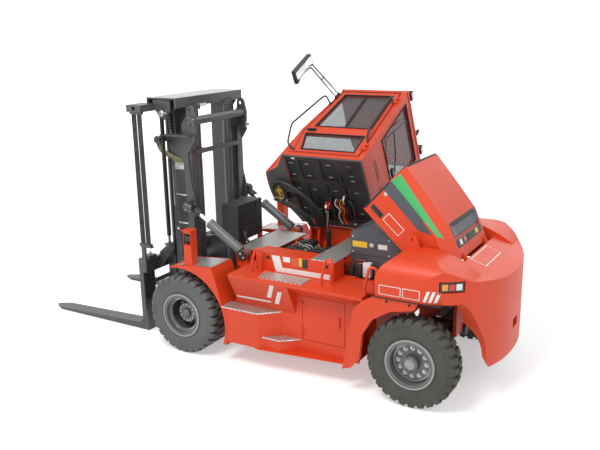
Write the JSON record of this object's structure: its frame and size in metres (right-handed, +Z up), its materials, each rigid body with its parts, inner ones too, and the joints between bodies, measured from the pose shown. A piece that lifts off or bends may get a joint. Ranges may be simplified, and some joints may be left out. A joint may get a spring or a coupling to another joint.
{
  "type": "electric forklift truck",
  "caption": "Heavy four-wheel electric counterbalance forklift with twin front wheels, two-stage mast, tipped cab and raised hood.",
  "frame": {"origin": "on the floor under the front axle, on the truck's centre plane", "axes": "+X towards the fork tips, +Y to the truck's left, +Z up"},
  "size_m": [6.78, 3.2499, 3.7164],
  "materials": {
    "body_orange": "gloss body paint",
    "mast_grey": "satin dark grey paint",
    "dark_frame": "matt black paint",
    "slate": "satin slate paint",
    "tyre": "worn rubber",
    "rim": "satin grey paint",
    "axle": "painted casting",
    "checker": "checker plate",
    "chain": "oiled steel",
    "hose": "matt rubber hose",
    "glass": "tinted safety glass",
    "black_plastic": "moulded black plastic",
    "lamp": "lamp lens",
    "chrome": "hard chrome",
    "seat": "black seat cover"
  },
  "bodies": {
    "chassis": {"chassis_frame": "body_orange", "side_panels": "body_orange", "tread_plates": "checker", "deck_boxes": "body_orange", "floor_plates": "checker", "counterweight": "body_orange", "battery_pack": "slate", "tow_pin": "dark_frame", "fenders": "body_orange", "lamps": "lamp", "hand_rails": "body_orange", "drive_axle": "axle", "drive_motor": "axle", "steer_axle": "axle", "oil_cooler": "dark_frame", "hydraulic_unit": "dark_frame"},
    "front_wheel_left": {"front_tyres_left": "tyre", "front_twin_rim_left": "rim"},
    "front_wheel_right": {"front_tyres_right": "tyre", "front_twin_rim_right": "rim"},
    "knuckle_left": {"steer_knuckle_left": "axle"},
    "knuckle_right": {"steer_knuckle_right": "axle"},
    "rear_wheel_left": {"rear_tyre_left": "tyre", "rear_rim_left": "rim"},
    "rear_wheel_right": {"rear_tyre_right": "tyre", "rear_rim_right": "rim"},
    "mast": {"outer_mast": "mast_grey", "lift_barrels": "mast_grey"},
    "inner_mast": {"inner_mast": "mast_grey", "chain_strands": "chain", "chain_loops": "chain", "chain_tails": "chain", "carriage_hoses": "hose"},
    "carriage": {"carriage": "mast_grey"},
    "fork_left": {"fork_left": "mast_grey"},
    "fork_right": {"fork_right": "mast_grey"},
    "tilt_barrel_left": {"tilt_barrel_left": "mast_grey"},
    "tilt_barrel_right": {"tilt_barrel_right": "mast_grey"},
    "tilt_rod_left": {"tilt_rod_left": "chrome"},
    "tilt_rod_right": {"tilt_rod_right": "chrome"},
    "cab": {"cab_nose": "body_orange", "cab_frame": "body_orange", "cab_rear_wall": "body_orange", "cab_right_wall": "body_orange", "cab_roof": "body_orange", "cab_glass": "glass", "roof_guard": "dark_frame", "mirror": "black_plastic", "seat": "seat", "dashboard": "black_plastic", "cab_underside": "dark_frame"},
    "cab_door": {"cab_left_door": "body_orange", "door_glass": "glass"},
    "cab_strut_barrel": {"cab_strut_barrel": "dark_frame"},
    "cab_strut_rod": {"cab_strut_rod": "chrome"},
    "hood": {"hood": "body_orange"},
    "service_door_left": {"service_door_left": "body_orange"},
    "service_door_right": {"service_door_right": "body_orange"}
  },
  "joints": [
    {"name": "front_wheel_left_spin", "type": "hinge", "parent": "chassis", "child": "front_wheel_left", "pos_m": [0, 0.921, 0.52], "axis": [0, 1, 0], "continuous": true},
    {"name": "front_wheel_right_spin", "type": "hinge", "parent": "chassis", "child": "front_wheel_right", "pos_m": [0, -0.921, 0.52], "axis": [0, 1, 0], "continuous": true},
    {"name": "steer", "type": "hinge", "parent": "chassis", "child": "knuckle_left", "pos_m": [-3.13, 0.8, 0.52], "axis": [0, 0, 1], "range_deg": [-65, 65]},
    {"name": "steer_right", "type": "hinge", "parent": "chassis", "child": "knuckle_right", "pos_m": [-3.13, -0.8, 0.52], "axis": [0, 0, 1], "range_deg": [-65, 65]},
    {"name": "rear_wheel_left_spin", "type": "hinge", "parent": "knuckle_left", "child": "rear_wheel_left", "pos_m": [-3.13, 1.049, 0.52], "axis": [0, 1, 0], "continuous": true},
    {"name": "rear_wheel_right_spin", "type": "hinge", "parent": "knuckle_right", "child": "rear_wheel_right", "pos_m": [-3.13, -1.049, 0.52], "axis": [0, 1, 0], "continuous": true},
    {"name": "mast_tilt", "type": "hinge", "parent": "chassis", "child": "mast", "pos_m": [0, 0, 0.52], "axis": [0, -1, 0], "range_deg": [-6, 10]},
    {"name": "mast_lift", "type": "slide", "parent": "mast", "child": "inner_mast", "axis": [0, 0, 1], "range_m": [0, 1.5], "deforming": ["chain_tails"]},
    {"name": "carriage_lift", "type": "slide", "parent": "inner_mast", "child": "carriage", "axis": [0, 0, 1], "range_m": [0, 1.5], "deforming": ["chain_strands", "carriage_hoses"]},
    {"name": "fork_left_shift", "type": "slide", "parent": "carriage", "child": "fork_left", "axis": [0, -1, 0], "range_m": [-0.09, 0.5]},
    {"name": "fork_right_shift", "type": "slide", "parent": "carriage", "child": "fork_right", "axis": [0, 1, 0], "range_m": [-0.09, 0.5]},
    {"name": "tilt_barrel_left_swing", "type": "hinge", "parent": "chassis", "child": "tilt_barrel_left", "pos_m": [-0.645, 0.645, 1.278], "axis": [0, -1, 0], "range_deg": [-5.5, 9.1]},
    {"name": "tilt_rod_left_slide", "type": "slide", "parent": "tilt_barrel_left", "child": "tilt_rod_left", "axis": [0.8388, 0, 0.5445], "range_m": [-0.173, 0.104]},
    {"name": "tilt_barrel_right_swing", "type": "hinge", "parent": "chassis", "child": "tilt_barrel_right", "pos_m": [-0.645, -0.645, 1.278], "axis": [0, -1, 0], "range_deg": [-5.5, 9.1]},
    {"name": "tilt_rod_right_slide", "type": "slide", "parent": "tilt_barrel_right", "child": "tilt_rod_right", "axis": [0.8388, 0, 0.5445], "range_m": [-0.173, 0.104]},
    {"name": "cab_tilt", "type": "hinge", "parent": "chassis", "child": "cab", "pos_m": [-1.4, -0.509, 1.423], "axis": [1, 0, 0], "range_deg": [-63.4, 0]},
    {"name": "cab_door_swing", "type": "hinge", "parent": "cab", "child": "cab_door", "pos_m": [-1.8905, -0.67585, 2.82512], "axis": [0, -0.8942, 0.4478], "range_deg": [0, 80]},
    {"name": "cab_strut_swing", "type": "hinge", "parent": "chassis", "child": "cab_strut_barrel", "pos_m": [-1.32, -0.38, 1.08], "axis": [1, 0, 0], "range_deg": [-36, 0]},
    {"name": "cab_strut_slide", "type": "slide", "parent": "cab_strut_barrel", "child": "cab_strut_rod", "axis": [0, 0.0602, 0.9982], "range_m": [-0.27, 0]},
    {"name": "hood_lift", "type": "hinge", "parent": "chassis", "child": "hood", "pos_m": [-3.45, 0, 1.56], "axis": [0, -1, 0], "range_deg": [-42.6, 0]},
    {"name": "service_door_left_swing", "type": "hinge", "parent": "chassis", "child": "service_door_left", "pos_m": [-1.691, 1.01, 0.735], "axis": [0, 0, -1], "range_deg": [0, 100]},
    {"name": "service_door_right_swing", "type": "hinge", "parent": "chassis", "child": "service_door_right", "pos_m": [-1.691, -1.01, 0.735], "axis": [0, 0, 1], "range_deg": [0, 100]}
  ],
  "couplings": [
    {"joint": "cab_strut_swing", "follows": "cab_tilt", "ratio": 0.51651},
    {"joint": "cab_strut_slide", "follows": "cab_tilt", "m_per_rad": 0.23405},
    {"joint": "steer_right", "follows": "steer", "ratio": 1},
    {"joint": "carriage_lift", "follows": "mast_lift", "ratio": 1},
    {"joint": "tilt_barrel_left_swing", "follows": "mast_tilt", "ratio": 0.9},
    {"joint": "tilt_rod_left_slide", "follows": "mast_tilt", "m_per_rad": -0.985},
    {"joint": "tilt_barrel_right_swing", "follows": "mast_tilt", "ratio": 0.9},
    {"joint": "tilt_rod_right_slide", "follows": "mast_tilt", "m_per_rad": -0.985}
  ]
}
